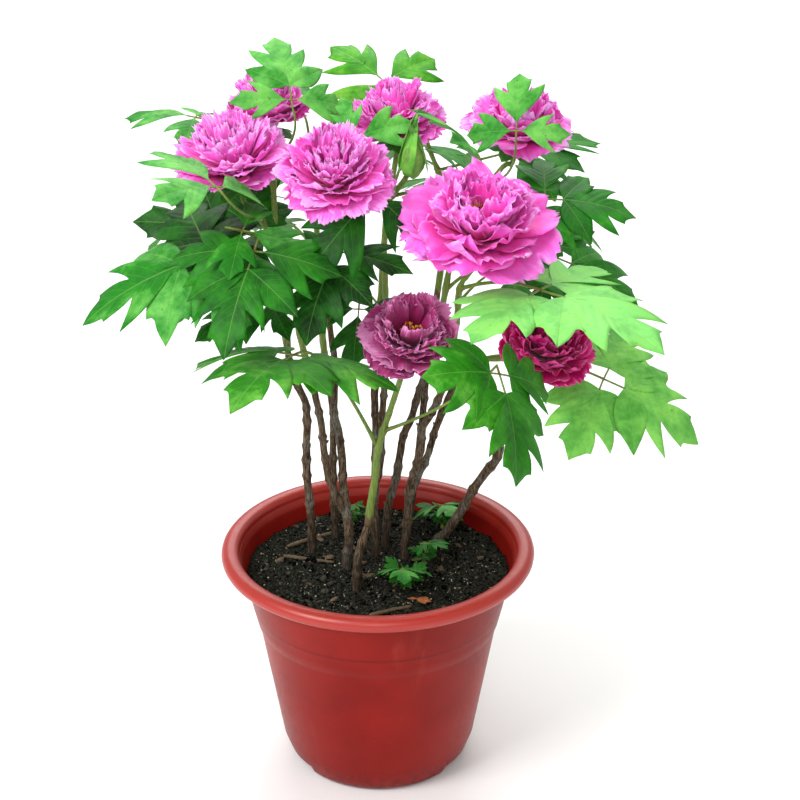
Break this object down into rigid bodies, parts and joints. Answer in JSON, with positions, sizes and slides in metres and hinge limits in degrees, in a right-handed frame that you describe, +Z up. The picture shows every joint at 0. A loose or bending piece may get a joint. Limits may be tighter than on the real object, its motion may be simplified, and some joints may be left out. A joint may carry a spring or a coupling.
{
  "type": "potted tree peony",
  "caption": "Tree peony in flower, with woody canes, divided green leaves and large double magenta-pink blooms, in a round terracotta-red plastic pot of soil.",
  "frame": {"origin": "centre of the pot's underside, on the surface it stands on", "axes": "+Z up along the pot's axis, -Y towards the viewer of the picture, +X to the viewer's right"},
  "size_m": [0.6175, 0.624, 0.7938],
  "materials": {
    "pot": "worn satin terracotta-red plastic with scuffs",
    "soil": "damp dark potting soil; stone stands in for earth",
    "cane": "rough grey-brown bark",
    "leaf": "living green leaf and stem; paper stands in for leaf tissue",
    "petal": "soft magenta-pink petal; paper stands in for petal tissue",
    "petal_dusky": "soft dusky purple-magenta petal; paper stands in for petal tissue",
    "petal_deep": "soft deep magenta-red petal; paper stands in for petal tissue",
    "stamen": "powdery orange-yellow stamens; paper stands in for them",
    "sprout": "young bright green leaf; paper stands in for leaf tissue",
    "twig": "dry weathered twig"
  },
  "bodies": {
    "root": {"pot": "pot", "soil": "soil", "cane_1": "cane", "cane_2": "cane", "cane_3": "cane", "cane_4": "cane", "cane_5": "cane", "cane_6": "cane", "cane_7": "cane", "cane_8": "cane", "cane_9": "cane", "shoot_1": "leaf", "shoot_2": "leaf", "shoot_3": "leaf", "shoot_4": "leaf", "shoot_5": "leaf", "shoot_6": "leaf", "shoot_7": "leaf", "shoot_8": "leaf", "shoot_9": "leaf", "shoot_10": "leaf", "shoot_11": "leaf", "bloom_1": "petal", "bloom_2": "petal", "bloom_3": "petal", "bloom_4": "petal_dusky", "bloom_5": "petal_deep", "bloom_6": "petal", "bloom_7": "petal", "bloom_8": "petal", "stamens_1": "stamen", "stamens_2": "stamen", "stamens_3": "stamen", "stamens_4": "stamen", "stamens_5": "stamen", "stamens_6": "stamen", "stamens_7": "stamen", "stamens_8": "stamen", "sprout_1": "sprout", "sprout_2": "sprout", "sprout_3": "sprout", "sprout_4": "sprout", "twig_1": "twig", "twig_2": "twig", "twig_3": "twig"}
  },
  "joints": []
}
